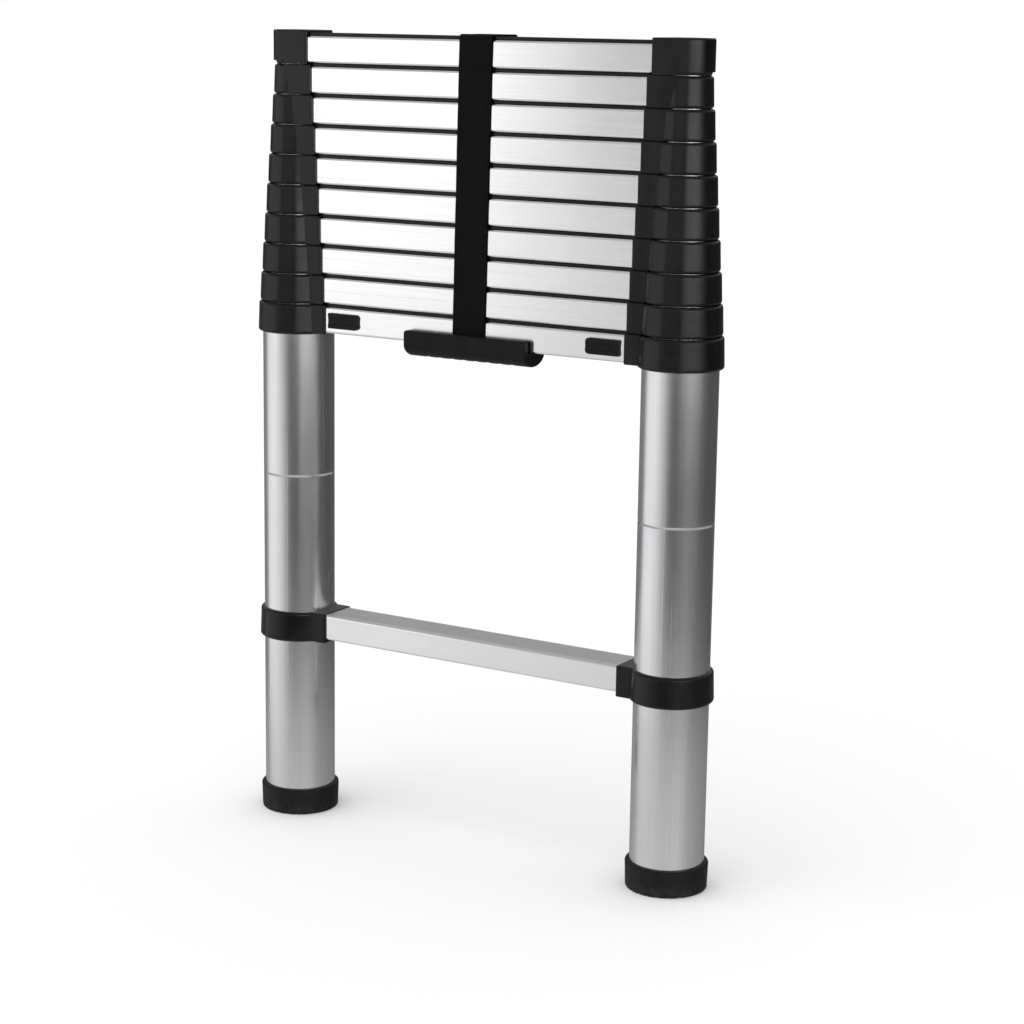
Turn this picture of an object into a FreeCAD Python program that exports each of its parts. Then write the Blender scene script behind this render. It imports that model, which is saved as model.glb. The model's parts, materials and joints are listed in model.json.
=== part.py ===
"""Telescoping ladder with every section pushed home.

Two posts of nested round tubes carry eleven rungs. The base tubes, the lower rung and the base rung are
fixed. Nine sections slide up out of them, each with two tubes, a rung and two collars.

Millimetres. +Z is up, +X is to the right along the rungs, and the buttons and handle face -Y. The origin is
on the ground, midway between the posts. Post parts are drawn for the right post and mirrored to the left.
"""

import FreeCAD, Part
import math
import os

# Driving dimensions
RUNG_SPACING = 300.0  # between rungs when a section is fully drawn out
STACK_PITCH = 27.9  # between rungs when the sections are pushed home
MOVING_SECTIONS = 9
POST_X = 207.3  # from the middle of the ladder to each post's axis
RUN_GAP = 0.3  # clearance between pieces that slide on each other

# Tubes
BASE_TUBE_R = 34.3
TUBE_STEP_R = 2.0  # each section's tube is this much smaller than the one outside it
TUBE_WALL = 1.4
TUBE_LENGTH = 398.0
GROOVE_Z = 339.9  # rolled groove round each base tube
GROOVE_DEPTH = 0.6
GROOVE_HEIGHT = 2.2

# Rungs
RUNG_DEPTH = 39.0
RUNG_HEIGHT = 24.8
RUNG_WALL = 1.6
RUNG_CORNER_R = 2.2
RUNG_INNER_CORNER_R = 1.0
TREAD_GROOVES = 9
TREAD_PITCH = 3.4
TREAD_GROOVE_WIDTH = 1.3
TREAD_GROOVE_DEPTH = 0.7
TREAD_STRIP_HALF_DEPTH = 17.3  # black strip on top of each stacked rung
TREAD_STRIP_HEIGHT = 2.8
TREAD_STRIP_ROUND = 0.6

# Collars
BASE_COLLAR_Z = 478.65  # level of the base collar's rung socket
BASE_COLLAR_SKIRT = 1.25  # the base collar's ring reaches below its socket by this much
COLLAR_WALL = 3.8
COLLAR_DRAFT = 0.5  # how far the ring leans in or out of its middle radius
COLLAR_ROUND = 2.8
COLLAR_LIP = 2.0  # inward lip that covers the tube's upper end
SOCKET_HALF_DEPTH = 21.9
SOCKET_REACH = 11.2  # the rung socket's end face, beyond the tube's surface
SOCKET_FLOOR = 4.9  # the rung's end, beyond the tube's surface
SOCKET_ROUND = 1.2
RUNG_MID_IN_COLLAR = 13.6  # middle of the rung above the collar's underside
BRACKET_BELOW = 15.95  # the lower bracket reaches this far below the middle of its rung
BRACKET_ABOVE = 13.1

# Top caps
CAP_R = 22.7
CAP_HALF_DEPTH = 21.4  # the cap is flat in front and behind
CAP_REACH = 9.3  # the cap's end face, beyond the tube's surface
CAP_NECK_R = 19.6
CAP_NECK_TOP_R = 21.2
CAP_NECK_HEIGHT = 2.8
CAP_TOP_Z = 761.0
CAP_ROUND = 1.6
CAP_SPIGOT_REACH = 16.0

# End plugs
PLUG_INSERT = 12.0
PLUG_WALL = 2.6
PLUG_FLANGE = 3.0
PLUG_HOLE_R = 5.0

# Lock pins, in distances beyond the tube's surface, towards the middle of the ladder
PIN_R = 4.0
PIN_SHOULDER_R = 7.0
PIN_SHOULDER_AT = 10.9
PIN_SHOULDER_LENGTH = 2.5
PIN_TAIL_AT = 31.4
CHAMBER_AT = 6.4
CHAMBER_END = 26.4
WASHER_LENGTH = 2.0
SPRING_WIRE_R = 0.5
SPRING_COILS = 6
SPRING_STEPS = 24  # points that guide each coil
SPRING_R = 6.0
SPRING_END_GAP = 0.1
SPIGOT_CLEAR = 0.2  # between the lock housing and the rung's inside

# Release buttons, as distances from the middle of the ladder
BUTTON_INNER = 122.7
BUTTON_OUTER = 157.2
BUTTON_HEIGHT = 14.5
BUTTON_THICK = 2.0
BUTTON_INNER_ROUND = 4.0
BUTTON_OUTER_ROUND = 1.0
BUTTON_DISH_R = 13.0
BUTTON_DISH_DEPTH = 0.7
BUTTON_RISE = 0.1  # the button's middle above the rung's middle
STEM_INNER = 128.6
STEM_OUTER = 133.6
STEM_HALF_HEIGHT = 4.4
STEM_REACH = 5.0  # how far the stem goes behind the rung's middle
SLOT_INNER = 124.0
SLOT_OUTER = 138.6
SLOT_HALF_HEIGHT = 4.9

# Feet
FOOT_HEIGHT = 25.0
FOOT_TOP_R = 38.2
FOOT_BOTTOM_R = 37.4
FOOT_FLOOR = 6.0  # rubber under the tube's end
FOOT_PLUG_WALL = 3.0
FOOT_ROUND = 1.8
SOLE_GROOVES = 7
SOLE_GROOVE_PITCH = 9.0
SOLE_GROOVE_WIDTH = 3.0
SOLE_GROOVE_DEPTH = 1.8

# Carry handle
HANDLE_LEFT = -67.0
HANDLE_RIGHT = 64.0
HANDLE_FRONT = -28.4
HANDLE_BACK = 8.4
HANDLE_TOP = 491.2
HANDLE_BOTTOM = 466.2
HANDLE_BELLY_HEIGHT = 12.0  # the underside is half an ellipse this deep
HANDLE_CORNER_ROUND = 3.0
HANDLE_EDGE_ROUND = 1.5
HANDLE_SADDLE_Z = 477.3  # top of the grip where the strap passes over it
HANDLE_PAD_LENGTH = 16.0
HANDLE_FINGER_RIBS = 8
HANDLE_RIB_PITCH = 13.0
HANDLE_RIB_R = 5.5
HANDLE_RIB_DEPTH = 2.0

# Closure strap
STRAP_WIDTH = 34.4
STRAP_THICK = 1.6
STRAP_GAP = 0.3  # between the strap and what it lies on
STRAP_MID_LOW = -0.4  # middle of the strap under the base rung
STRAP_MID_HIGH = 4.0  # middle of the strap at the top rung: it leans a little
STRAP_OVERLAP = 30.0  # the end piece lies over the band by this much, behind the stack

# Derived dimensions
COLLAR_HEIGHT = STACK_PITCH - RUN_GAP
SECTION_TRAVEL = RUNG_SPACING - STACK_PITCH
TOP = MOVING_SECTIONS
PIN_HOLE_R = PIN_R + RUN_GAP
CHAMBER_R = PIN_SHOULDER_R + RUN_GAP
FAR = 60.0  # longer than any cut needs to be
TINY = 0.01  # an edge shorter than this along an axis is square to it

LEFT, RIGHT = "left", "right"


def vec(x, y, z):
    return FreeCAD.Vector(x, y, z)


def tube_r(section):
    """Outer radius of a section's tube; section 0 is the base."""
    return BASE_TUBE_R - TUBE_STEP_R * section


def collar_z(section):
    """Underside of a section's collar."""
    return BASE_COLLAR_Z + STACK_PITCH * section


def rung_mid_z(section):
    return collar_z(section) + RUNG_MID_IN_COLLAR


def tube_top_z(section):
    return collar_z(section) + COLLAR_HEIGHT - COLLAR_LIP


def tube_end_z(section):
    """Lower end of a section's tube."""
    if section == 0:
        return FOOT_FLOOR
    return tube_top_z(section) - TUBE_LENGTH


def inward(section, distance):
    """X of a point this far beyond the right tube's surface, towards the middle of the ladder."""
    return POST_X - tube_r(section) - distance


def box(x0, x1, y0, y1, z0, z1):
    return Part.makeBox(x1 - x0, y1 - y0, z1 - z0, vec(x0, y0, z0))


def post_cylinder(radius, z0, z1):
    """Upright cylinder on the right post's axis."""
    return Part.makeCylinder(radius, z1 - z0, vec(POST_X, 0, z0))


def post_cone(low_r, high_r, z0, z1):
    return Part.makeCone(low_r, high_r, z1 - z0, vec(POST_X, 0, z0))


def rod(radius, x0, x1, z):
    """Cylinder along X at the middle of the ladder's depth."""
    return Part.makeCylinder(radius, x1 - x0, vec(x0, 0, z), vec(1, 0, 0))


def round_edges(solid, radius, wanted):
    edges = [edge for edge in solid.Edges if wanted(edge)]
    return solid.makeFillet(radius, edges)


def is_circle(edge):
    return isinstance(edge.Curve, Part.Circle)


def mirrored(shape):
    """The left post's copy of a right post shape."""
    return shape.mirror(vec(0, 0, 0), vec(1, 0, 0))


def on_both_posts(shapes):
    return [mirrored(shape) for shape in shapes] + shapes


def rounded_outline(corners, radii, place):
    """Closed outline through corners, given anticlockwise, each rounded by its own radius."""
    arcs = []
    starts = []
    ends = []
    count = len(corners)
    for i, (corner, radius) in enumerate(zip(corners, radii)):
        here = vec(*corner, 0)
        before = vec(*corners[i - 1], 0) - here
        after = vec(*corners[(i + 1) % count], 0) - here
        before.normalize()
        after.normalize()
        start = here + before * radius
        end = here + after * radius
        centre = here + (before + after) * radius
        middle = centre + (here - centre).normalize() * radius
        starts.append(place(start))
        ends.append(place(end))
        arcs.append(Part.Arc(place(start), place(middle), place(end)).toShape())
    edges = []
    for i in range(count):
        edges.append(arcs[i])
        edges.append(Part.LineSegment(ends[i], starts[(i + 1) % count]).toShape())
    return Part.Face(Part.Wire(edges))


def rectangle_corners(low_a, high_a, low_b, high_b):
    return [(low_a, low_b), (high_a, low_b), (high_a, high_b), (low_a, high_b)]


def bar_along_x(x0, x1, half_depth, z0, z1, radius):
    """Bar along X whose section is a rounded rectangle."""
    corners = rectangle_corners(-half_depth, half_depth, z0, z1)
    face = rounded_outline(corners, [radius] * 4, lambda p: vec(x0, p.x, p.y))
    return face.extrude(vec(x1 - x0, 0, 0))


def plate_facing_y(corners, radii, y0, y1):
    """Plate whose outline lies in X and Z, from y0 to y1."""
    face = rounded_outline(corners, radii, lambda p: vec(p.x, y0, p.y))
    return face.extrude(vec(0, y1 - y0, 0))


def tube(section):
    """Right tube of a section, with the holes its lock pins go through."""
    radius = tube_r(section)
    bottom = tube_end_z(section)
    top = tube_top_z(section)
    solid = post_cylinder(radius, bottom, top)
    solid = solid.cut(post_cylinder(radius - TUBE_WALL, bottom, top))
    if section < TOP:
        solid = solid.cut(rod(PIN_HOLE_R, inward(section, 1), POST_X, rung_mid_z(section)))
    if section > 0:
        seat_z = rung_mid_z(section - 1) - SECTION_TRAVEL
        solid = solid.cut(rod(PIN_HOLE_R, inward(section, 1), POST_X, seat_z))
    else:
        solid = solid.cut(rolled_groove(radius))
    return solid


def rolled_groove(radius):
    """Shallow V-shaped ring taken out of the base tube's surface."""
    half = GROOVE_HEIGHT / 2
    low = post_cylinder(radius + 1, GROOVE_Z - half, GROOVE_Z + half)
    upper = post_cone(radius - GROOVE_DEPTH, radius, GROOVE_Z, GROOVE_Z + half)
    lower = post_cone(radius, radius - GROOVE_DEPTH, GROOVE_Z - half, GROOVE_Z)
    return low.cut(upper.fuse(lower))


def rung(section):
    """Hollow rung whose ends sit in the collars' sockets."""
    return hollow_bar(inward(section, SOCKET_FLOOR), rung_mid_z(section))


def hollow_bar(half_length, mid_z):
    low = mid_z - RUNG_HEIGHT / 2
    high = mid_z + RUNG_HEIGHT / 2
    inner_half = RUNG_DEPTH / 2 - RUNG_WALL
    outer = bar_along_x(-half_length, half_length, RUNG_DEPTH / 2, low, high, RUNG_CORNER_R)
    inner = bar_along_x(
        -half_length, half_length, inner_half, low + RUNG_WALL, high - RUNG_WALL, RUNG_INNER_CORNER_R
    )
    return outer.cut(inner)


def tread_grooves(half_length, top_z):
    grooves = []
    for i in range(TREAD_GROOVES):
        y = TREAD_PITCH * (i - (TREAD_GROOVES - 1) / 2)
        y0 = y - TREAD_GROOVE_WIDTH / 2
        y1 = y + TREAD_GROOVE_WIDTH / 2
        grooves.append(box(-half_length, half_length, y0, y1, top_z - TREAD_GROOVE_DEPTH, top_z + 1))
    return grooves


def lower_rung():
    """The rung between the lower brackets, grooved on top."""
    mid_z = rung_mid_z(0) - RUNG_SPACING
    half_length = inward(0, SOCKET_FLOOR)
    return hollow_bar(half_length, mid_z).cut(tread_grooves(half_length, mid_z + RUNG_HEIGHT / 2))


def tread_strip(section):
    """Black grooved strip on top of a stacked rung, between its sockets."""
    reach = CAP_REACH if section == TOP else SOCKET_REACH
    half_length = inward(section, reach) - RUN_GAP
    low = rung_mid_z(section) + RUNG_HEIGHT / 2
    high = low + TREAD_STRIP_HEIGHT
    strip = bar_along_x(-half_length, half_length, TREAD_STRIP_HALF_DEPTH, low, high, TREAD_STRIP_ROUND)
    return strip.cut(tread_grooves(half_length, high))


def base_rung():
    """The lowest stacked rung, with a slot in its front wall for each release button."""
    mid_z = rung_mid_z(0) + BUTTON_RISE
    front = -RUNG_DEPTH / 2
    slots = []
    for x0, x1 in ((-SLOT_OUTER, -SLOT_INNER), (SLOT_INNER, SLOT_OUTER)):
        slots.append(
            box(x0, x1, front - 1, front + RUNG_WALL + 1, mid_z - SLOT_HALF_HEIGHT, mid_z + SLOT_HALF_HEIGHT)
        )
    return rung(0).cut(slots)


def rung_pocket(section, mid_z):
    """The space that a rung's right end takes in its socket."""
    return bar_along_x(
        inward(section, SOCKET_REACH + 1),
        inward(section, SOCKET_FLOOR),
        RUNG_DEPTH / 2,
        mid_z - RUNG_HEIGHT / 2,
        mid_z + RUNG_HEIGHT / 2,
        RUNG_CORNER_R,
    )


def socket_block(section, z0, z1):
    """Block that reaches from the right post's axis to the socket's end face."""
    solid = box(inward(section, SOCKET_REACH), POST_X, -SOCKET_HALF_DEPTH, SOCKET_HALF_DEPTH, z0, z1)
    return round_edges(solid, SOCKET_ROUND, lambda edge: edge.BoundBox.XMin < POST_X - 1)


def spigot(section, mid_z, reach):
    """Block that goes into the rung's hollow end."""
    half_depth = RUNG_DEPTH / 2 - RUNG_WALL - SPIGOT_CLEAR
    half_height = RUNG_HEIGHT / 2 - RUNG_WALL - SPIGOT_CLEAR
    return box(
        inward(section, reach),
        inward(section, SOCKET_FLOOR - 1),
        -half_depth,
        half_depth,
        mid_z - half_height,
        mid_z + half_height,
    )


def clamp_ring(section, z0, z1, skirt=0):
    """Drafted ring round the right post, with its rung socket and no bore yet."""
    middle_r = tube_r(section) + COLLAR_WALL
    ring = post_cone(middle_r + COLLAR_DRAFT, middle_r - COLLAR_DRAFT, z0 - skirt, z1)
    ring = round_edges(ring, COLLAR_ROUND, is_circle)
    return ring.fuse(socket_block(section, z0, z1))


def collar(section):
    """Right collar of a section: ring, rung socket, lock housing and the lip over the tube's end."""
    z0 = collar_z(section)
    z1 = z0 + COLLAR_HEIGHT
    mid_z = rung_mid_z(section)
    skirt = BASE_COLLAR_SKIRT if section == 0 else 0
    solid = clamp_ring(section, z0, z1, skirt).cut(rung_pocket(section, mid_z))
    solid = solid.fuse(spigot(section, mid_z, CHAMBER_END + WASHER_LENGTH))
    cuts = [
        post_cylinder(tube_r(section), z0 - skirt - 1, tube_top_z(section)),
        post_cylinder(tube_r(section + 1) + RUN_GAP, z0 - 1, z1 + 1),
        rod(PIN_HOLE_R, inward(section, FAR), POST_X, mid_z),
        rod(CHAMBER_R, inward(section, FAR), inward(section, CHAMBER_AT), mid_z),
    ]
    return solid.cut(cuts)


def washer(section):
    """Ring that closes the lock housing and carries the spring."""
    x0 = inward(section, CHAMBER_END + WASHER_LENGTH)
    x1 = inward(section, CHAMBER_END)
    z = rung_mid_z(section)
    return rod(CHAMBER_R, x0, x1, z).cut(rod(PIN_HOLE_R, x0, x1, z))


def lower_bracket():
    """Right clamp that holds the lower rung to the base tube."""
    mid_z = rung_mid_z(0) - RUNG_SPACING
    z0 = mid_z - BRACKET_BELOW
    z1 = mid_z + BRACKET_ABOVE
    solid = clamp_ring(0, z0, z1).cut(rung_pocket(0, mid_z))
    solid = solid.fuse(spigot(0, mid_z, CAP_SPIGOT_REACH))
    return solid.cut(post_cylinder(tube_r(0), z0 - 1, z1 + 1))


def top_cap():
    """Right cap of the top section: closed above the tube, flat in front, with a neck under its rim."""
    z0 = collar_z(TOP)
    mid_z = rung_mid_z(TOP)
    rim_z = z0 + CAP_NECK_HEIGHT
    end_x = inward(TOP, CAP_REACH)
    flats = box(0, POST_X + FAR, -CAP_HALF_DEPTH, CAP_HALF_DEPTH, rim_z, CAP_TOP_Z)
    rim = post_cylinder(CAP_R, rim_z, CAP_TOP_Z).common(flats)
    socket = box(end_x, POST_X, -CAP_HALF_DEPTH, CAP_HALF_DEPTH, z0, CAP_TOP_Z)
    solid = rim.fuse(socket).removeSplitter()

    def on_top_or_end(edge):
        bounds = edge.BoundBox
        return bounds.ZMin > CAP_TOP_Z - TINY or bounds.XMax < end_x + TINY

    solid = round_edges(solid, CAP_ROUND, on_top_or_end)
    neck = post_cone(CAP_NECK_R, CAP_NECK_TOP_R, z0, rim_z + CAP_ROUND)
    solid = solid.fuse(neck).cut(rung_pocket(TOP, mid_z))
    solid = solid.fuse(spigot(TOP, mid_z, CAP_SPIGOT_REACH))
    return solid.cut(post_cylinder(tube_r(TOP), z0 - 1, tube_top_z(TOP)))


def end_plug(section):
    """Plug in the lower end of the right tube; its flange guides the tube in the one outside."""
    bottom = tube_end_z(section)
    top = bottom + PLUG_INSERT
    insert_r = tube_r(section) - TUBE_WALL
    solid = post_cylinder(insert_r, bottom, top)
    solid = solid.cut(post_cylinder(insert_r - PLUG_WALL, bottom, top))
    solid = solid.fuse(post_cylinder(tube_r(section) + RUN_GAP, bottom - PLUG_FLANGE, bottom))
    return solid.cut(post_cylinder(PLUG_HOLE_R, bottom - PLUG_FLANGE, bottom))


def foot():
    """Right shoe: rubber cup round the tube's end, with a plug inside it and a grooved sole."""
    cup = post_cone(FOOT_BOTTOM_R, FOOT_TOP_R, 0, FOOT_HEIGHT)
    cup = round_edges(cup, FOOT_ROUND, is_circle)
    outer_r = tube_r(0)
    inner_r = outer_r - TUBE_WALL
    seat = post_cylinder(outer_r, FOOT_FLOOR, FAR).cut(post_cylinder(inner_r, FOOT_FLOOR, FAR))
    hollow = post_cylinder(inner_r - FOOT_PLUG_WALL, FOOT_FLOOR, FAR)
    grooves = []
    for i in range(SOLE_GROOVES):
        x = POST_X + SOLE_GROOVE_PITCH * (i - (SOLE_GROOVES - 1) / 2)
        half = SOLE_GROOVE_WIDTH / 2
        grooves.append(box(x - half, x + half, -FAR, FAR, -1, SOLE_GROOVE_DEPTH))
    return cup.cut([seat, hollow] + grooves)


def lock_pin(section, tail_x):
    """Right lock pin: rod with a shoulder that the spring pushes on. Its tip rests beside the inner tube."""
    mid_z = rung_mid_z(section)
    tip_x = POST_X - tube_r(section + 1) - RUN_GAP
    shoulder_x = inward(section, PIN_SHOULDER_AT)
    solid = rod(PIN_R, tail_x, tip_x, mid_z)
    return solid.fuse(rod(PIN_SHOULDER_R, shoulder_x - PIN_SHOULDER_LENGTH, shoulder_x, mid_z))


def lock_spring():
    """Right coil spring of the base, between the pin's shoulder and the washer."""
    clear = SPRING_WIRE_R + SPRING_END_GAP
    x0 = inward(0, CHAMBER_END) + clear
    x1 = inward(0, PIN_SHOULDER_AT + PIN_SHOULDER_LENGTH) - clear
    steps = SPRING_COILS * SPRING_STEPS
    points = []
    for i in range(steps + 1):
        angle = math.tau * i / SPRING_STEPS
        x = x0 + (x1 - x0) * i / steps
        points.append(vec(x, SPRING_R * math.sin(angle), rung_mid_z(0) + SPRING_R * math.cos(angle)))
    coil = Part.BSplineCurve()
    coil.interpolate(points)
    wire_end = Part.Wire(Part.makeCircle(SPRING_WIRE_R, points[0], vec(0, 1, 0)))
    return Part.Wire(coil.toShape()).makePipeShell([wire_end], True, True)


def release_button():
    """Right thumb button: a cap on the rung's front with a stem through the slot to the lock pin."""
    mid_z = rung_mid_z(0) + BUTTON_RISE
    back_y = -RUNG_DEPTH / 2 - RUN_GAP
    front_y = back_y - BUTTON_THICK
    half = BUTTON_HEIGHT / 2
    corners = rectangle_corners(BUTTON_INNER, BUTTON_OUTER, mid_z - half, mid_z + half)
    radii = [BUTTON_INNER_ROUND, BUTTON_OUTER_ROUND, BUTTON_OUTER_ROUND, BUTTON_INNER_ROUND]
    cap = plate_facing_y(corners, radii, front_y, back_y)
    dish_y = front_y + BUTTON_DISH_DEPTH - BUTTON_DISH_R
    dish = Part.makeCylinder(
        BUTTON_DISH_R, BUTTON_OUTER - BUTTON_INNER, vec(BUTTON_INNER, dish_y, mid_z), vec(1, 0, 0)
    )
    stem = box(
        STEM_INNER, STEM_OUTER, back_y - 1, STEM_REACH, mid_z - STEM_HALF_HEIGHT, mid_z + STEM_HALF_HEIGHT
    )
    return cap.cut(dish).fuse(stem)


def grip_bar():
    """Bar along the handle whose upper part is a box and whose underside is half an ellipse."""
    belly_z = HANDLE_BOTTOM + HANDLE_BELLY_HEIGHT
    middle_y = (HANDLE_FRONT + HANDLE_BACK) / 2
    middle = vec(HANDLE_LEFT, middle_y, belly_z)
    back = vec(HANDLE_LEFT, HANDLE_BACK, belly_z)
    back_top = vec(HANDLE_LEFT, HANDLE_BACK, HANDLE_TOP)
    front_top = vec(HANDLE_LEFT, HANDLE_FRONT, HANDLE_TOP)
    front = vec(HANDLE_LEFT, HANDLE_FRONT, belly_z)
    ellipse = Part.Ellipse(back, middle + vec(0, 0, HANDLE_BELLY_HEIGHT), middle)
    belly = Part.ArcOfEllipse(ellipse, math.pi, math.tau).toShape()
    sides = [
        Part.makeLine(back, back_top),
        Part.makeLine(back_top, front_top),
        Part.makeLine(front_top, front),
    ]
    return Part.Face(Part.Wire([belly] + sides)).extrude(vec(HANDLE_RIGHT - HANDLE_LEFT, 0, 0))


def on_top_end(edge):
    bounds = edge.BoundBox
    return bounds.XLength < TINY and bounds.ZMin > HANDLE_TOP - TINY


def carry_handle():
    """Moulded grip under the base rung, with a flange up the rung's front and ribs for the fingers."""
    grip = round_edges(grip_bar(), HANDLE_CORNER_ROUND, on_top_end)
    grip = round_edges(grip, HANDLE_EDGE_ROUND, lambda edge: edge.BoundBox.XLength < TINY)
    flange_back = -RUNG_DEPTH / 2 - STRAP_GAP - STRAP_THICK
    rung_low = rung_mid_z(0) - RUNG_HEIGHT / 2
    cuts = [
        box(-FAR - HANDLE_RIGHT, FAR + HANDLE_RIGHT, flange_back, FAR, rung_low, HANDLE_TOP + 1),
        box(
            HANDLE_LEFT + HANDLE_PAD_LENGTH,
            HANDLE_RIGHT - HANDLE_PAD_LENGTH,
            flange_back,
            FAR,
            HANDLE_SADDLE_Z,
            HANDLE_TOP + 1,
        ),
    ]
    middle_x = (HANDLE_LEFT + HANDLE_RIGHT) / 2
    for i in range(HANDLE_FINGER_RIBS):
        x = middle_x + HANDLE_RIB_PITCH * (i - (HANDLE_FINGER_RIBS - 1) / 2)
        z = HANDLE_BOTTOM + HANDLE_RIB_DEPTH - HANDLE_RIB_R
        cuts.append(Part.makeCylinder(HANDLE_RIB_R, 2 * FAR, vec(x, -FAR, z), vec(0, 1, 0)))
    return grip.cut(cuts)


def strap_middle(z):
    """X of the strap's middle at a height: the band leans a little to the right."""
    low = rung_mid_z(0)
    high = rung_mid_z(TOP)
    return STRAP_MID_LOW + (STRAP_MID_HIGH - STRAP_MID_LOW) * (z - low) / (high - low)


def strap_band(y0, y1, z0, z1):
    """Upright length of strap between two depths and two heights."""
    half = STRAP_WIDTH / 2
    low = strap_middle(z0)
    high = strap_middle(z1)
    points = [
        vec(low - half, y0, z0),
        vec(low + half, y0, z0),
        vec(high + half, y0, z1),
        vec(high - half, y0, z1),
        vec(low - half, y0, z0),
    ]
    return Part.Face(Part.makePolygon(points)).extrude(vec(0, y1 - y0, 0))


def closure_strap():
    """Strap under the base rung, and up the front and the back of the stack."""
    inner = RUNG_DEPTH / 2 + STRAP_GAP
    outer = inner + STRAP_THICK
    low = rung_mid_z(0) - RUNG_HEIGHT / 2 - STRAP_GAP - STRAP_THICK
    high = collar_z(TOP)
    front = strap_band(-outer, -inner, low, high)
    back = strap_band(inner, outer, low, high)
    under = strap_band(-outer, outer, low, low + STRAP_THICK)
    return front.fuse([back, under]).removeSplitter()


def closure_strap_end():
    """End of the strap: over the top rung, down to the band in front, and over the band behind."""
    front_inner = -RUNG_DEPTH / 2 - STRAP_GAP
    front_outer = front_inner - STRAP_THICK
    back_inner = STRAP_GAP - front_outer
    back_outer = back_inner + STRAP_THICK
    under = rung_mid_z(TOP) + RUNG_HEIGHT / 2 + TREAD_STRIP_HEIGHT + STRAP_GAP
    over = under + STRAP_THICK
    join_z = collar_z(TOP) + RUN_GAP
    front = strap_band(front_outer, front_inner, join_z, over)
    back = strap_band(back_inner, back_outer, join_z - STRAP_OVERLAP, over)
    across = strap_band(front_outer, back_outer, under, over)
    return front.fuse([back, across]).removeSplitter()


def write(name, solids):
    shape = solids[0]
    if len(solids) > 1:
        shape = Part.makeCompound(solids)
    shape.exportStep("parts/" + name + ".step")
    valid = "valid" if shape.isValid() else "NOT VALID"
    print(f"{name}: {len(solids)} solid, {shape.Volume / 1000:.2f} cm3, {valid}")


def write_left_and_right(name, right_solid):
    write(f"{name}_{LEFT}", [mirrored(right_solid)])
    write(f"{name}_{RIGHT}", [right_solid])


def write_base():
    write_left_and_right("base_tube", tube(0))
    write_left_and_right("foot", foot())
    write("lower_brackets", on_both_posts([lower_bracket()]))
    write("lower_rung", [lower_rung()])
    write("base_collars_and_tread", on_both_posts([collar(0), washer(0)]) + [tread_strip(0)])
    write("base_rung", [base_rung()])
    write("carry_handle", [carry_handle()])
    write("closure_strap", [closure_strap()])
    write_left_and_right("release_button", release_button())
    write_left_and_right("base_lock_pin", lock_pin(0, STEM_OUTER))
    write_left_and_right("base_lock_spring", lock_spring())


def write_section(section):
    name = f"section_{section}"
    write(f"{name}_tubes", on_both_posts([tube(section)]))
    write(f"{name}_rung", [rung(section)])
    strip = tread_strip(section)
    if section == TOP:
        write("top_caps_plugs_and_tread", on_both_posts([top_cap(), end_plug(section)]) + [strip])
        return
    moulded = on_both_posts([collar(section), washer(section), end_plug(section)])
    write(f"{name}_collars_plugs_and_tread", moulded + [strip])
    write_left_and_right(f"{name}_lock_pin", lock_pin(section, inward(section, PIN_TAIL_AT)))


os.makedirs("parts", exist_ok=True)
write_base()
for number in range(1, MOVING_SECTIONS + 1):
    write_section(number)
write("closure_strap_end", [closure_strap_end()])
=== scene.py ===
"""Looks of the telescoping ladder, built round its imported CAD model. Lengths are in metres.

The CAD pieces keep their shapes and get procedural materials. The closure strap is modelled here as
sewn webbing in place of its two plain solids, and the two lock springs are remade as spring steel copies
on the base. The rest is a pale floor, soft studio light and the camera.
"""

import json
import math
import random

import bmesh
import bpy
from mathutils import Euler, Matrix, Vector


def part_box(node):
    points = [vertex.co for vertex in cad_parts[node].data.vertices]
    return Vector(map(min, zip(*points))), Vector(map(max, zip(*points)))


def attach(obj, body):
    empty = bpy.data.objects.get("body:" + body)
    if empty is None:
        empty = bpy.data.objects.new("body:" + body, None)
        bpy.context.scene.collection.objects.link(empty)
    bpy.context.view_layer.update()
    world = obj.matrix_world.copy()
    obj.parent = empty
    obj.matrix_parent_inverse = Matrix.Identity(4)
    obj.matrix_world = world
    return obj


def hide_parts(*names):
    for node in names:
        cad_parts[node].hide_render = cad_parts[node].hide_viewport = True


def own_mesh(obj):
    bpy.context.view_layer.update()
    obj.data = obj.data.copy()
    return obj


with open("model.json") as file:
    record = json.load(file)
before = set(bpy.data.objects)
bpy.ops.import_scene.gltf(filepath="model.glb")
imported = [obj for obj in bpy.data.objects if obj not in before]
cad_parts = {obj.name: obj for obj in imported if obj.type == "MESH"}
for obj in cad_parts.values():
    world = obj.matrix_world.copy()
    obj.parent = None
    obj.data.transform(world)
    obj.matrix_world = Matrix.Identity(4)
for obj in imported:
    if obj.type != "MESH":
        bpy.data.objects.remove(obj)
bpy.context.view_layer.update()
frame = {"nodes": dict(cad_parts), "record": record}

MM = 0.001

# Camera
LENS_MM = 85.145
SENSOR_MM = 36.0
CAMERA_PLACE = (1.1817, -1.8682, 0.7847)
CAMERA_PITCH = 11.782  # degrees below the horizon
CAMERA_YAW = 31.51  # degrees round to the left of +Y
CAMERA_ROLL = 0.836
CAMERA_REACH = 1000.0  # the floor's far edge is still in view

# Stage and light
FLOOR_R = 400.0
FLOOR_SIDES = 96
FLOOR_COLOUR = (0.88, 0.88, 0.88)
FIBRE_SHADE = 0.985  # of the floor's colour, where its fibres are darkest
ROOM_LIGHT = 1.0
SUN_STRENGTH = 0.75
SUN_SPREAD = 70.0  # degrees
SUN_TILT = (24.0, -18.0)  # degrees about X and Y
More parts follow.
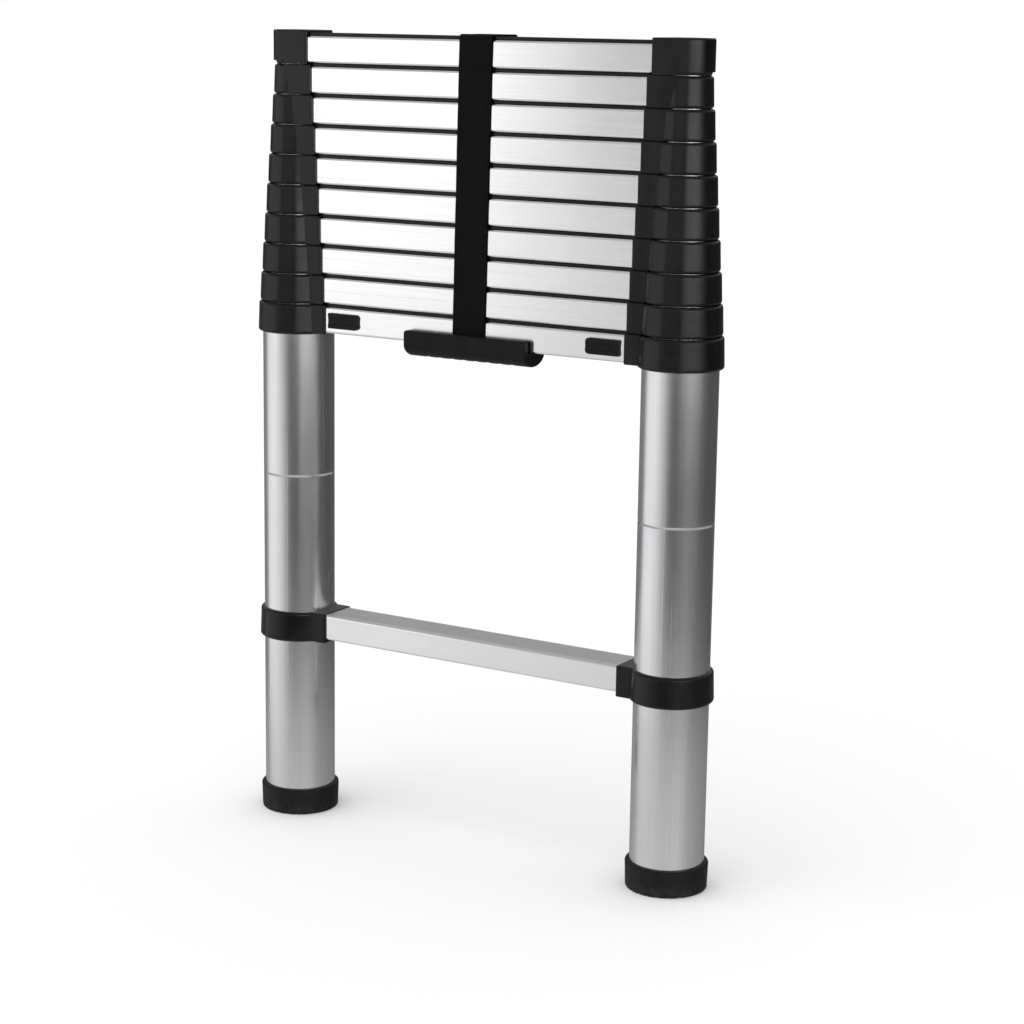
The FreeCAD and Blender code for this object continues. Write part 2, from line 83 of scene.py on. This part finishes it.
# Brightness of the studio round the ladder, as gloss reflects it, in bands one above the other:
# (bearing from -Y towards +X, level)
FLOOR_GLOW = (
    (-180, 0.25),
    (-90, 0.38),
    (-72, 0.66),
    (62, 0.66),
    (95, 0.42),
    (180, 0.25),
)
LOW_PANELS = (
    (-180, 0.10),
    (-150, 0.20),
    (-90, 0.20),
    (-82, 1.00),
    (-45, 1.00),
    (-33, 0.84),
    (-18, 0.62),
    (-8, 0.38),
    (2, 0.10),
    (14, 0.03),
    (36, 0.03),
    (46, 0.13),
    (90, 0.13),
    (98, 0.08),
    (150, 0.08),
    (180, 0.10),
)
MIDDLE_PANELS = (
    (-180, 0.05),
    (-110, 0.05),
    (-95, 0.30),
    (-70, 0.80),
    (-50, 1.40),
    (-31.5, 1.55),
    (-29.8, 0.30),
    (-27, 0.30),
    (-22, 0.40),
    (-8, 0.12),
    (36, 0.08),
    (46, 1.30),
    (80, 1.30),
    (96, 0.50),
    (104, 0.05),
    (180, 0.05),
)
HIGH_PANELS = (
    (-180, 0.05),
    (-110, 0.05),
    (-95, 0.30),
    (-70, 1.00),
    (-50, 1.40),
    (-31.5, 1.55),
    (-29.8, 0.30),
    (-27, 0.30),
    (-22, 0.90),
    (10, 1.10),
    (20, 0.60),
    (26, 0.80),
    (32, 4.20),
    (70, 4.80),
    (92, 0.80),
    (104, 0.05),
    (180, 0.05),
)
OVERHEAD_LEVEL = 0.48  # the studio's ceiling
# Slopes between which one band fades to the next
GLOW_TO_LOW = (-0.290, -0.262)
LOW_TO_MIDDLE = (-0.122, -0.095)
MIDDLE_TO_HIGH = (-0.075, -0.035)
HIGH_TO_OVERHEAD = (0.16, 0.20)

# Strap
STRAP_WIDTH = 34.4 * MM
STRAP_THICK = 1.5 * MM
STRAP_SOLID_THICK = 1.6 * MM  # of the plain CAD strap that the webbing replaces
STRAP_JOIN_GAP = 0.3 * MM  # between the band and its end, in front
STRAP_BEND_R = 2.6 * MM
STRAP_BEND_STEPS = 6
STRAP_STEP = 1.6 * MM
STRAP_FACE_SPANS = 10  # across the face, between its two grooves
SELVEDGE_WIDTH = 2.6 * MM
SELVEDGE_GROOVE = 0.35 * MM
# The groove's section: (selvedge widths out from its middle, share of its depth)
GROOVE_SHAPE = ((0.5, 0.0), (0.25, 0.1), (0.0, 1.0), (-0.25, 0.1), (-0.6, 0.0))
# The rounded edge's section: (half thicknesses in from the edge, half thicknesses above the middle)
EDGE_SHAPE = ((0.25, 0.7), (0.0, 0.0), (0.25, -0.7))
EDGE_START = 0.9  # half thicknesses in from the edge, where the flat face ends
# The webbing isn't quite straight: a few long waves sway it sideways, and its edges ripple
SWAY_DEPTH = 0.05 * MM
SWAY_COUNT = 4
SWAY_WAVES = (18, 90)  # radians per metre
RIPPLE_SHARE = 0.25  # of the thickness
RIPPLE_ALONG = 220  # radians per metre
RIPPLE_ACROSS = 90
BAND_SEED = 11
END_SEED = 12

# Weave and stitches
WEAVE_PITCH = 1.7 * MM
ENDS_PITCH = 0.62 * WEAVE_PITCH
CHEVRON_WIDTH = 6.3 * MM
CHEVRON_SLANT = 0.9
STITCH_LENGTH = 2.6 * MM
STITCH_GAP = 0.9 * MM
STITCH_R = 0.38 * MM
STITCH_SIDES = 8
STITCH_FLATNESS = 0.7  # its height as a share of its width
# A stitch along its length: (half lengths from its middle, share of its radius)
STITCH_SHAPE = ((-1.0, 0.15), (-0.8, 0.75), (-0.35, 1.0), (0.35, 1.0), (0.8, 0.75), (1.0, 0.15))
STITCH_SINK = 0.1 * MM
STITCH_BOX_INSET = 5 * MM  # from the strap's edges
STITCH_BOX_LOW = 4 * MM  # above the strap's sewn end
STITCH_BOX_HEIGHT = 15 * MM

# Materials. A noise scale is in grains per metre, and a bump's depth is in metres.
EVEN = (1, 1, 1)  # noise that isn't stretched
PLAIN_NOISE = (0.3, 0.7)  # the levels that noise mostly keeps within
FINE_LINES = 1500
BROAD_LINES = 260
HANDLING_CLOUDS = 9
SCUFF_LINES = 520
SCUFF_SHOWS = (0.70, 0.76)  # noise levels where a scuff begins and is whole
SCUFF_PALENESS = 0.35
SCUFF_ROUGHNESS = 0.08
FINE_LINE_DEPTH = 0.02 * MM
BROAD_LINE_DEPTH = 0.04 * MM
DRAWN_ANISOTROPY = 0.75
FLOW_MARKS = 60
RUBBED_PATCHES = 130
RUBBED_SHOWS = (0.58, 0.72)
RUBBED_COLOUR = 2.4  # times the plastic's paler colour
RUBBED_PALENESS = 0.35
RUBBED_ROUGHNESS = 0.10
PLASTIC_GRAIN_DEPTH = 0.05 * MM
FLOW_DEPTH = 0.35 * MM
DUST_TOP = 14 * MM  # above the ground
DUST_PATCHES = 170
RUBBER_GRAIN = 1300
RUBBER_GRAIN_DEPTH = 0.06 * MM
RUBBER_FLOW = 90
RUBBER_FLOW_DEPTH = 0.4 * MM
TURNING_LINES = 90
TURNING_DEPTH = 0.03 * MM
ZINC_SPOTS = 400
WEAVE_DEPTH = 0.22 * MM
THREAD_FUZZ = 2600
THREAD_FUZZ_DEPTH = 0.08 * MM
STRAP_WEAR = 55
THREAD_TWIST = 2400
THREAD_TWIST_DEPTH = 0.08 * MM
PAPER_FIBRES = 220


# ---------------------------------------------------------------- node helpers


def new_material(name):
    """A material whose tree holds a Principled shader, with the tree and the shader."""
    material = bpy.data.materials.new(name)
    material.use_nodes = True
    tree = material.node_tree
    return material, tree, tree.nodes["Principled BSDF"]


def fill(tree, made, inputs):
    """Gives a node its inputs. A value is a socket to link from, or a plain value."""
    for key, value in inputs.items():
        if isinstance(value, bpy.types.NodeSocket):
            tree.links.new(value, made.inputs[key])
        else:
            made.inputs[key].default_value = value


def node(tree, kind, inputs=None, **settings):
    """Adds a node with its settings and inputs."""
    made = tree.nodes.new(kind)
    for key, value in settings.items():
        setattr(made, key, value)
    fill(tree, made, inputs or {})
    return made


def calc(tree, operation, *values):
    made = node(tree, "ShaderNodeMath", dict(enumerate(values)), operation=operation)
    return made.outputs[0]


def weighted(tree, first, first_share, second, second_share):
    """The sum of two values, each times its share."""
    first_part = calc(tree, "MULTIPLY", first, first_share)
    second_part = calc(tree, "MULTIPLY", second, second_share)
    return calc(tree, "ADD", first_part, second_part)


def ranged(tree, value, from_range, to_range=(0, 1)):
    """The value moved from one range to another, and kept within it."""
    inputs = {
        "Value": value,
        "From Min": from_range[0],
        "From Max": from_range[1],
        "To Min": to_range[0],
        "To Max": to_range[1],
    }
    return node(tree, "ShaderNodeMapRange", inputs).outputs[0]


def around(value, spread):
    return value - spread, value + spread


def mixed(tree, factor, low, high):
    """A colour between low and high, each a socket or plain red, green and blue."""
    low, high = ((*colour, 1) if isinstance(colour, tuple) else colour for colour in (low, high))
    inputs = {0: factor, 6: low, 7: high}  # a Mix node's colours share their names with other inputs
    return node(tree, "ShaderNodeMix", inputs, data_type="RGBA").outputs[2]


def noise(tree, stretch, scale, detail=3.0, roughness=0.55):
    """Noise in the object's own space, drawn out along an axis by a small number there."""
    place = node(tree, "ShaderNodeTexCoord").outputs["Object"]
    mapped = node(tree, "ShaderNodeMapping", {"Vector": place, "Scale": stretch}).outputs[0]
    inputs = {"Vector": mapped, "Scale": scale, "Detail": detail, "Roughness": roughness}
    return node(tree, "ShaderNodeTexNoise", inputs).outputs["Fac"]


def bumped(tree, shader, height, distance, strength, under=None):
    """Adds a bump to the shader's normal, over another bump if there is one."""
    inputs = {"Height": height, "Distance": distance, "Strength": strength}
    if under is not None:
        inputs["Normal"] = under
    made = node(tree, "ShaderNodeBump", inputs).outputs[0]
    tree.links.new(made, shader.inputs["Normal"])
    return made


def across_the_grain(tree, grain):
    """Direction along the surface and square to the grain: gloss spreads that way on drawn metal."""
    normal = node(tree, "ShaderNodeNewGeometry").outputs["Normal"]
    made = node(tree, "ShaderNodeVectorMath", {0: grain, 1: normal}, operation="CROSS_PRODUCT")
    return made.outputs[0]


# ---------------------------------------------------------------- materials


def drawn_aluminium(name, dark, light, grain, stretch, rough, spread):
    """Extruded and satin finished aluminium: fine lines along the grain, cloudy handling marks, scuffs."""
    material, tree, shader = new_material(name)
    lines = noise(tree, stretch, FINE_LINES, detail=4)
    broad_lines = noise(tree, stretch, BROAD_LINES, detail=2)
    clouds = noise(tree, EVEN, HANDLING_CLOUDS, detail=4)
    scuffs = ranged(tree, noise(tree, stretch, SCUFF_LINES, detail=1, roughness=0.3), SCUFF_SHOWS)
    tone = weighted(tree, lines, 0.45, clouds, 0.55)
    colour = mixed(tree, ranged(tree, tone, (0.35, 0.65)), dark, light)
    gloss = weighted(tree, broad_lines, 0.5, clouds, 0.5)
    worn = calc(tree, "MULTIPLY", scuffs, SCUFF_ROUGHNESS)
    inputs = {
        "Base Color": mixed(tree, calc(tree, "MULTIPLY", scuffs, SCUFF_PALENESS), colour, light),
        "Roughness": calc(tree, "ADD", ranged(tree, gloss, PLAIN_NOISE, around(rough, spread)), worn),
        "Metallic": 1.0,
        "Anisotropic": DRAWN_ANISOTROPY,
        "Tangent": across_the_grain(tree, grain),
    }
    fill(tree, shader, inputs)
    under = bumped(tree, shader, lines, FINE_LINE_DEPTH, strength=0.35)
    bumped(tree, shader, broad_lines, BROAD_LINE_DEPTH, strength=0.3, under=under)
    return material


def moulded_plastic(name, dark, light, rough, grain_size, specular):
    """Black moulded plastic: fine grain, slight flow marks, paler rubbed patches."""
    material, tree, shader = new_material(name)
    grain = noise(tree, EVEN, grain_size, detail=2)
    flow = noise(tree, (1, 1, 0.35), FLOW_MARKS)
    patches = noise(tree, (1, 1, 2.2), RUBBED_PATCHES, detail=5, roughness=0.65)
    rubbed = ranged(tree, patches, RUBBED_SHOWS)
    base = mixed(tree, ranged(tree, flow, PLAIN_NOISE), dark, light)
    pale = tuple(channel * RUBBED_COLOUR for channel in light)
    gloss = ranged(tree, flow, PLAIN_NOISE, around(rough, 0.05))
    inputs = {
        "Base Color": mixed(tree, calc(tree, "MULTIPLY", rubbed, RUBBED_PALENESS), base, pale),
        "Roughness": calc(tree, "ADD", gloss, calc(tree, "MULTIPLY", rubbed, RUBBED_ROUGHNESS)),
        "Specular IOR Level": specular,
    }
    fill(tree, shader, inputs)
    under = bumped(tree, shader, grain, PLASTIC_GRAIN_DEPTH, strength=0.22)
    bumped(tree, shader, flow, FLOW_DEPTH, strength=0.25, under=under)
    return material


def foot_rubber(name):
    """Matt black rubber with pale dust that gathers towards the ground."""
    material, tree, shader = new_material(name)
    place = node(tree, "ShaderNodeTexCoord").outputs["Object"]
    height = node(tree, "ShaderNodeSeparateXYZ", {0: place}).outputs["Z"]
    low = ranged(tree, height, (0, DUST_TOP), (1, 0))
    patches = ranged(tree, noise(tree, EVEN, DUST_PATCHES, detail=5, roughness=0.7), (0.4, 0.75))
    amount = calc(tree, "ADD", calc(tree, "MULTIPLY", low, 0.6), 0.12)
    dust = calc(tree, "MULTIPLY", amount, patches)
    inputs = {
        "Base Color": mixed(tree, dust, (0.0045, 0.0045, 0.0045), (0.050, 0.048, 0.045)),
        "Roughness": ranged(tree, dust, (0, 0.5), (0.48, 0.8)),
        "Specular IOR Level": 0.2,
    }
    fill(tree, shader, inputs)
    grain = noise(tree, EVEN, RUBBER_GRAIN, detail=2)
    flow = noise(tree, (1, 1, 0.3), RUBBER_FLOW)
    under = bumped(tree, shader, grain, RUBBER_GRAIN_DEPTH, strength=0.5)
    bumped(tree, shader, flow, RUBBER_FLOW_DEPTH, strength=0.25, under=under)
    return material


def turned_steel(name, dark, light, rough):
    """Zinc plated steel with turning lines round the X axis."""
    material, tree, shader = new_material(name)
    rings = noise(tree, (40, 1, 1), TURNING_LINES)
    spots = noise(tree, EVEN, ZINC_SPOTS, detail=4)
    inputs = {
        "Base Color": mixed(tree, ranged(tree, spots, (0.35, 0.65)), dark, light),
        "Roughness": ranged(tree, rings, PLAIN_NOISE, around(rough, 0.07)),
        "Metallic": 1.0,
    }
    fill(tree, shader, inputs)
    bumped(tree, shader, rings, TURNING_DEPTH, strength=0.4)
    return material


def strap_webbing(name):
    """Black polyester webbing. Its UV map is in metres: across the band, then along it."""
    material, tree, shader = new_material(name)
    place = node(tree, "ShaderNodeUVMap", uv_map="band").outputs[0]
    split = node(tree, "ShaderNodeSeparateXYZ", {0: place})
    across, along = split.outputs["X"], split.outputs["Y"]
    chevron = calc(tree, "PINGPONG", across, CHEVRON_WIDTH / 2)
    slanted = calc(tree, "ADD", along, calc(tree, "MULTIPLY", chevron, CHEVRON_SLANT))
    twill = calc(tree, "SINE", calc(tree, "MULTIPLY", slanted, math.tau / WEAVE_PITCH))
    ends = calc(tree, "SINE", calc(tree, "MULTIPLY", across, math.tau / ENDS_PITCH))
    weave = weighted(tree, twill, 0.65, ends, 0.35)
    fuzz = noise(tree, EVEN, THREAD_FUZZ, roughness=0.7)
    wear = noise(tree, (1, 1, 0.4), STRAP_WEAR, detail=4)
    tone = calc(tree, "ADD", ranged(tree, weave, (-1, 1), (0, 0.55)), calc(tree, "MULTIPLY", wear, 0.45))
    inputs = {
        "Base Color": mixed(tree, tone, (0.0016, 0.0016, 0.0018), (0.0065, 0.0065, 0.0068)),
        "Roughness": ranged(tree, fuzz, PLAIN_NOISE, (0.66, 0.86)),
        "Specular IOR Level": 0.08,
        "Sheen Weight": 0.01,
        "Sheen Roughness": 0.5,
    }
    fill(tree, shader, inputs)
    under = bumped(tree, shader, weave, WEAVE_DEPTH, strength=0.7)
    bumped(tree, shader, fuzz, THREAD_FUZZ_DEPTH, strength=0.4, under=under)
    return material


def stitch_thread(name):
    """Black sewing thread with a light twist."""
    material, tree, shader = new_material(name)
    twist = noise(tree, (3, 1, 1), THREAD_TWIST, detail=1)
    inputs = {
        "Base Color": mixed(tree, twist, (0.006, 0.006, 0.007), (0.03, 0.03, 0.032)),
        "Roughness": ranged(tree, twist, PLAIN_NOISE, (0.45, 0.65)),
    }
    fill(tree, shader, inputs)
    bumped(tree, shader, twist, THREAD_TWIST_DEPTH, strength=0.5)
    return material


def make_materials():
    """The materials by the record's slot names, and the strap's sewing thread."""
    return {
        "tube_aluminium": drawn_aluminium(
            "tube_aluminium",
            dark=(0.70, 0.70, 0.72),
            light=(0.80, 0.80, 0.81),
            grain=(0, 0, 1),
            stretch=(1, 1, 0.004),
            rough=0.21,
            spread=0.02,
        ),
        "rung_aluminium": drawn_aluminium(
            "rung_aluminium",
            dark=(0.84, 0.84, 0.85),
            light=(0.92, 0.92, 0.93),
            grain=(1, 0, 0),
            stretch=(0.006, 1, 1),
            rough=0.20,
            spread=0.025,
        ),
        "collar_plastic": moulded_plastic(
            "collar_plastic",
            dark=(0.0035, 0.0035, 0.0038),
            light=(0.0065, 0.0065, 0.0068),
            rough=0.23,
            grain_size=2200,
            specular=0.24,
        ),
        "grip_plastic": moulded_plastic(
            "grip_plastic",
            dark=(0.0045, 0.0045, 0.0048),
            light=(0.0075, 0.0075, 0.0078),
            rough=0.40,
            grain_size=1500,
            specular=0.12,
        ),
        "button_plastic": moulded_plastic(
            "button_plastic",
            dark=(0.004, 0.004, 0.0043),
            light=(0.0075, 0.0075, 0.0078),
            rough=0.34,
            grain_size=2600,
            specular=0.14,
        ),
        "foot_rubber": foot_rubber("foot_rubber"),
        "strap_webbing": strap_webbing("strap_webbing"),
        "pin_steel": turned_steel(
            "pin_steel",
            dark=(0.50, 0.50, 0.51),
            light=(0.64, 0.64, 0.65),
            rough=0.28,
        ),
        "spring_steel": turned_steel(
            "spring_steel",
            dark=(0.34, 0.34, 0.35),
            light=(0.48, 0.48, 0.49),
            rough=0.34,
        ),
        "stitch_thread": stitch_thread("stitch_thread"),
    }


def dress_cad_nodes(materials):
    """Each CAD piece keeps its shape and takes the material of its slot in the record."""
    for part in frame["record"]["subparts"]:
        piece = frame["nodes"][part["node"]]
        for slot in piece.material_slots:
            slot.material = materials[part["material_slot"]]


# ---------------------------------------------------------------- objects and meshes


def add_object(name, data):
    """An object in the scene that holds the data."""
    made = bpy.data.objects.new(name, data)
    bpy.context.scene.collection.objects.link(made)
    return made


def tube_faces(first, rings, sides):
    """Faces of a tube and its two ends, whose rings of points follow each other from index first."""
    faces = []
    for ring in range(rings - 1):
        here = first + ring * sides
        ahead = here + sides
        for j in range(sides):
            k = (j + 1) % sides
            faces.append((here + j, here + k, ahead + k, ahead + j))
    last = first + (rings - 1) * sides
    faces.append(tuple(first + j for j in reversed(range(sides))))
    faces.append(tuple(last + j for j in range(sides)))
    return faces


def smooth_mesh(name, verts, faces):
    """A smooth shaded mesh whose faces all look outwards."""
    mesh = bpy.data.meshes.new(name)
    mesh.from_pydata(verts, [], faces)
    shell = bmesh.new()
    shell.from_mesh(mesh)
    bmesh.ops.recalc_face_normals(shell, faces=shell.faces)
    shell.to_mesh(mesh)
    shell.free()
    mesh.shade_smooth()
    return mesh


# ---------------------------------------------------------------- strap


def rounded_path(corners):
    """Points along straight runs in (y, z), with an arc in place of each inner corner."""
    points = [Vector(corners[0])]
    for before, corner, after in zip(corners, corners[1:], corners[2:]):
        here = Vector(corner)
        back = (Vector(before) - here).normalized()
        on = (Vector(after) - here).normalized()
        reach = STRAP_BEND_R / math.tan(back.angle(on) / 2)
        centre = here + (back + on).normalized() * (STRAP_BEND_R / math.sin(back.angle(on) / 2))
        start = here + back * reach - centre
        end = here + on * reach - centre
        for i in range(STRAP_BEND_STEPS + 1):
            points.append(centre + start.slerp(end, i / STRAP_BEND_STEPS).normalized() * STRAP_BEND_R)
    points.append(Vector(corners[-1]))
    return points


def evenly_spaced(points, step):
    """The path again with points about a step apart, its corners kept."""
    spaced = [points[0]]
    for a, b in zip(points, points[1:]):
        count = max(1, round((b - a).length / step))
        spaced += [a.lerp(b, i / count) for i in range(1, count + 1)]
    return spaced


def strap_profile():
    """Outline of the webbing's section as (across, out), closed, with a groove inside each selvedge."""
    half = STRAP_WIDTH / 2
    rise = STRAP_THICK / 2
    groove = half - SELVEDGE_WIDTH
    face = [(half - EDGE_START * rise, rise)]
    for out, depth in GROOVE_SHAPE:
        face.append((groove + out * SELVEDGE_WIDTH, rise - depth * SELVEDGE_GROOVE))
    inner = face[-1][0]
    middle = [(inner * (1 - 2 * i / STRAP_FACE_SPANS), rise) for i in range(1, STRAP_FACE_SPANS)]
    top = face + middle + [(-x, y) for x, y in reversed(face)]
    edge = [(-half + inwards * rise, above * rise) for inwards, above in EDGE_SHAPE]
    bottom = [(x, -y) for x, y in reversed(top)]
    other_edge = [(-x, y) for x, y in reversed(edge)]
    return top + edge + bottom + other_edge


def strap_piece(name, corners, middle_at, seed):
    """A band of webbing that follows corners in (y, z), its middle at x = middle_at(z)."""
    path = evenly_spaced(rounded_path(corners), STRAP_STEP)
    lengths = [0.0]
    for a, b in zip(path, path[1:]):
        lengths.append(lengths[-1] + (b - a).length)
    profile = strap_profile()
    rng = random.Random(seed)
    waves = [(rng.uniform(*SWAY_WAVES), rng.uniform(0, math.tau)) for _ in range(SWAY_COUNT)]
    verts = []
    for i, (point, length) in enumerate(zip(path, lengths)):
        ahead = (path[min(i + 1, len(path) - 1)] - path[max(i - 1, 0)]).normalized()
        out = Vector((ahead[1], -ahead[0]))
        sway = sum(math.sin(k * length + phase) for k, phase in waves) * SWAY_DEPTH
        for across, proud in profile:
            ripple = math.sin(RIPPLE_ALONG * length + RIPPLE_ACROSS * across) * abs(across) / STRAP_WIDTH
            at = point + out * (proud * (1 + RIPPLE_SHARE * ripple))
            verts.append((middle_at(point[1]) + across + sway, at[0], at[1]))
    ring = len(profile)
    mesh = smooth_mesh(name, verts, tube_faces(0, len(path), ring))
    uv = mesh.uv_layers.new(name="band")
    for loop in mesh.loops:
        row, column = divmod(loop.vertex_index, ring)
        uv.data[loop.index].uv = (profile[column][0] + STRAP_WIDTH, lengths[row])
    return add_object(name, mesh)


def stitch_rows(name, rows, y):
    """Rows of short thread stitches on the back of the strap; a row is (x0, z0, x1, z1)."""
    verts = []
    faces = []
    for x0, z0, x1, z1 in rows:
        start = Vector((x0, y, z0))
        run = Vector((x1, y, z1)) - start
        count = int(run.length / (STITCH_LENGTH + STITCH_GAP))
        along = run.normalized()
        side = Vector((0, 1, 0)).cross(along)
        for i in range(count):
            middle = start + run * ((i + 0.5) / count)
            faces += tube_faces(len(verts), len(STITCH_SHAPE), STITCH_SIDES)
            for reach, girth in STITCH_SHAPE:
                centre = middle + along * (reach * STITCH_LENGTH / 2)
                for j in range(STITCH_SIDES):
                    angle = math.tau * j / STITCH_SIDES
                    proud = Vector((0, -math.sin(angle) * STITCH_FLATNESS, 0))
                    verts.append(centre + (side * math.cos(angle) + proud) * (girth * STITCH_R))
    return add_object(name, smooth_mesh(name, verts, faces))


def box_of_rows(middle, low_z):
    """Rows of a box stitch: a rectangle with its two diagonals."""
    reach = STRAP_WIDTH / 2 - STITCH_BOX_INSET
    left, right = middle - reach, middle + reach
    high_z = low_z + STITCH_BOX_HEIGHT
    return [
        (left, low_z, right, low_z),
        (left, high_z, right, high_z),
        (left, low_z, left, high_z),
        (right, low_z, right, high_z),
        (left, low_z, right, high_z),
        (left, high_z, right, low_z),
    ]


def make_strap(materials):
    """The band round the stack, and its sewn end over the top rung, in place of the two CAD solids."""
    band_low, band_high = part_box("closure_strap")
    end_low, end_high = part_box("closure_strap_end")
    half_solid = STRAP_SOLID_THICK / 2
    middle_low = band_low.x + STRAP_WIDTH / 2
    middle_high = end_high.x - STRAP_WIDTH / 2

    def middle_at(z):
        rise = (z - band_low.z) / (end_high.z - band_low.z)
        return middle_low + (middle_high - middle_low) * rise

    front = band_low.y + half_solid
    back = band_high.y - half_solid
    under = band_low.z + half_solid
    band_path = [(back, band_high.z), (back, under), (front, under), (front, band_high.z)]
    band = strap_piece("closure_strap_band", band_path, middle_at, BAND_SEED)
    end_front = end_low.y + half_solid
    end_back = end_high.y - half_solid
    over = end_high.z - half_solid
    front_join = band_high.z + STRAP_JOIN_GAP
    end_path = [(end_back, end_low.z), (end_back, over), (end_front, over), (end_front, front_join)]
    end = strap_piece("closure_strap_sewn_end", end_path, middle_at, END_SEED)
    rows = box_of_rows(middle_at(end_low.z), end_low.z + STITCH_BOX_LOW)
    stitches = stitch_rows("closure_strap_stitches", rows, end_high.y - STITCH_SINK)
    for piece, body, material in (
        (band, "base", "strap_webbing"),
        (end, "section_9", "strap_webbing"),
        (stitches, "section_9", "stitch_thread"),
    ):
        piece.data.materials.append(materials[material])
        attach(piece, body)
    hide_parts("closure_strap")
    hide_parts("closure_strap_end")


# ---------------------------------------------------------------- lock springs


def make_lock_springs(materials):
    """The base's two lock springs, as copies in spring steel that move with the base."""
    for side in ("left", "right"):
        cad_name = f"base_lock_spring_{side}"
        mesh = frame["nodes"][cad_name].data.copy()
        mesh.materials.clear()
        mesh.materials.append(materials["spring_steel"])
        spring = add_object(f"lock_spring_coil_{side}", mesh)
        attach(spring, "base")
        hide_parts(cad_name)
        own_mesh(spring)


# ---------------------------------------------------------------- stage, light and camera


def make_floor():
    """Pale paper floor that runs to the horizon. Gloss sees the studio in its place."""
    material, tree, shader = new_material("floor_paper")
    fibres = noise(tree, EVEN, PAPER_FIBRES, detail=4, roughness=0.6)
    dim = tuple(channel * FIBRE_SHADE for channel in FLOOR_COLOUR)
    inputs = {
        "Base Color": mixed(tree, fibres, dim, FLOOR_COLOUR),
        "Roughness": 0.9,
        "Specular IOR Level": 0.1,
    }
    fill(tree, shader, inputs)
    angles = [math.tau * i / FLOOR_SIDES for i in range(FLOOR_SIDES)]
    verts = [(math.cos(angle) * FLOOR_R, math.sin(angle) * FLOOR_R, 0) for angle in angles]
    mesh = bpy.data.meshes.new("floor")
    mesh.from_pydata(verts, [], [tuple(range(FLOOR_SIDES))])
    mesh.materials.append(material)
    floor = add_object("floor", mesh)
    floor.visible_glossy = False


def ring_of_panels(tree, turn, panels):
    """Brightness round the horizon, read from a table of (bearing in degrees, level)."""
    ramp = node(tree, "ShaderNodeValToRGB", {0: turn})
    stops = ramp.color_ramp.elements
    while len(stops) < len(panels):
        stops.new(0.5)  # each stop's own place follows
    for stop, (angle, level) in zip(stops, panels):
        stop.position = (angle + 180) / 360
        stop.color = (level, level, level, 1)
    return ramp.outputs[0]


def make_room():
    """White room for the eye and for diffuse light; for gloss, a dim studio with soft bright panels."""
    world = bpy.data.worlds.new("studio")
    bpy.context.scene.world = world
    world.use_nodes = True
    world.cycles.sampling_method = "NONE"
    tree = world.node_tree
    direction = node(tree, "ShaderNodeTexCoord").outputs["Generated"]
    split = node(tree, "ShaderNodeSeparateXYZ", {0: direction})
    towards_viewer = calc(tree, "MULTIPLY", split.outputs["Y"], -1.0)
    bearing = calc(tree, "ARCTAN2", split.outputs["X"], towards_viewer)
    turn = ranged(tree, bearing, (-math.pi, math.pi))
    bands = (
        (GLOW_TO_LOW, ring_of_panels(tree, turn, LOW_PANELS)),
        (LOW_TO_MIDDLE, ring_of_panels(tree, turn, MIDDLE_PANELS)),
        (MIDDLE_TO_HIGH, ring_of_panels(tree, turn, HIGH_PANELS)),
        (HIGH_TO_OVERHEAD, (OVERHEAD_LEVEL,) * 3),
    )
    panels = ring_of_panels(tree, turn, FLOOR_GLOW)
    for fade, band in bands:
        climb = ranged(tree, split.outputs["Z"], fade)
        panels = mixed(tree, climb, panels, band)
    seen_in_gloss = node(tree, "ShaderNodeLightPath").outputs["Is Glossy Ray"]
    colour = mixed(tree, seen_in_gloss, (ROOM_LIGHT,) * 3, panels)
    tree.links.new(colour, tree.nodes["Background"].inputs["Color"])


def make_sun():
    """Very soft light from above, which gives the floor its brightness and faint contact shadows."""
    light = bpy.data.lights.new("sun", "SUN")
    light.energy = SUN_STRENGTH
    light.angle = math.radians(SUN_SPREAD)
    sun = add_object("sun", light)
    sun.rotation_euler = Euler((math.radians(SUN_TILT[0]), math.radians(SUN_TILT[1]), 0))
    sun.visible_glossy = False


def make_camera():
    data = bpy.data.cameras.new("camera")
    data.lens = LENS_MM
    data.sensor_width = SENSOR_MM
    data.clip_end = CAMERA_REACH
    camera = add_object("camera", data)
    camera.location = CAMERA_PLACE
    level = math.radians(90 - CAMERA_PITCH)
    turned = Euler((level, 0, math.radians(CAMERA_YAW)), "XYZ").to_matrix()
    rolled = Euler((0, 0, math.radians(CAMERA_ROLL)), "XYZ").to_matrix()
    camera.rotation_euler = (turned @ rolled).to_euler()
    bpy.context.scene.camera = camera


make_camera()
made_materials = make_materials()
dress_cad_nodes(made_materials)
make_strap(made_materials)
make_lock_springs(made_materials)
make_floor()
make_room()
make_sun()

bpy.context.scene.view_settings.view_transform = "Standard"
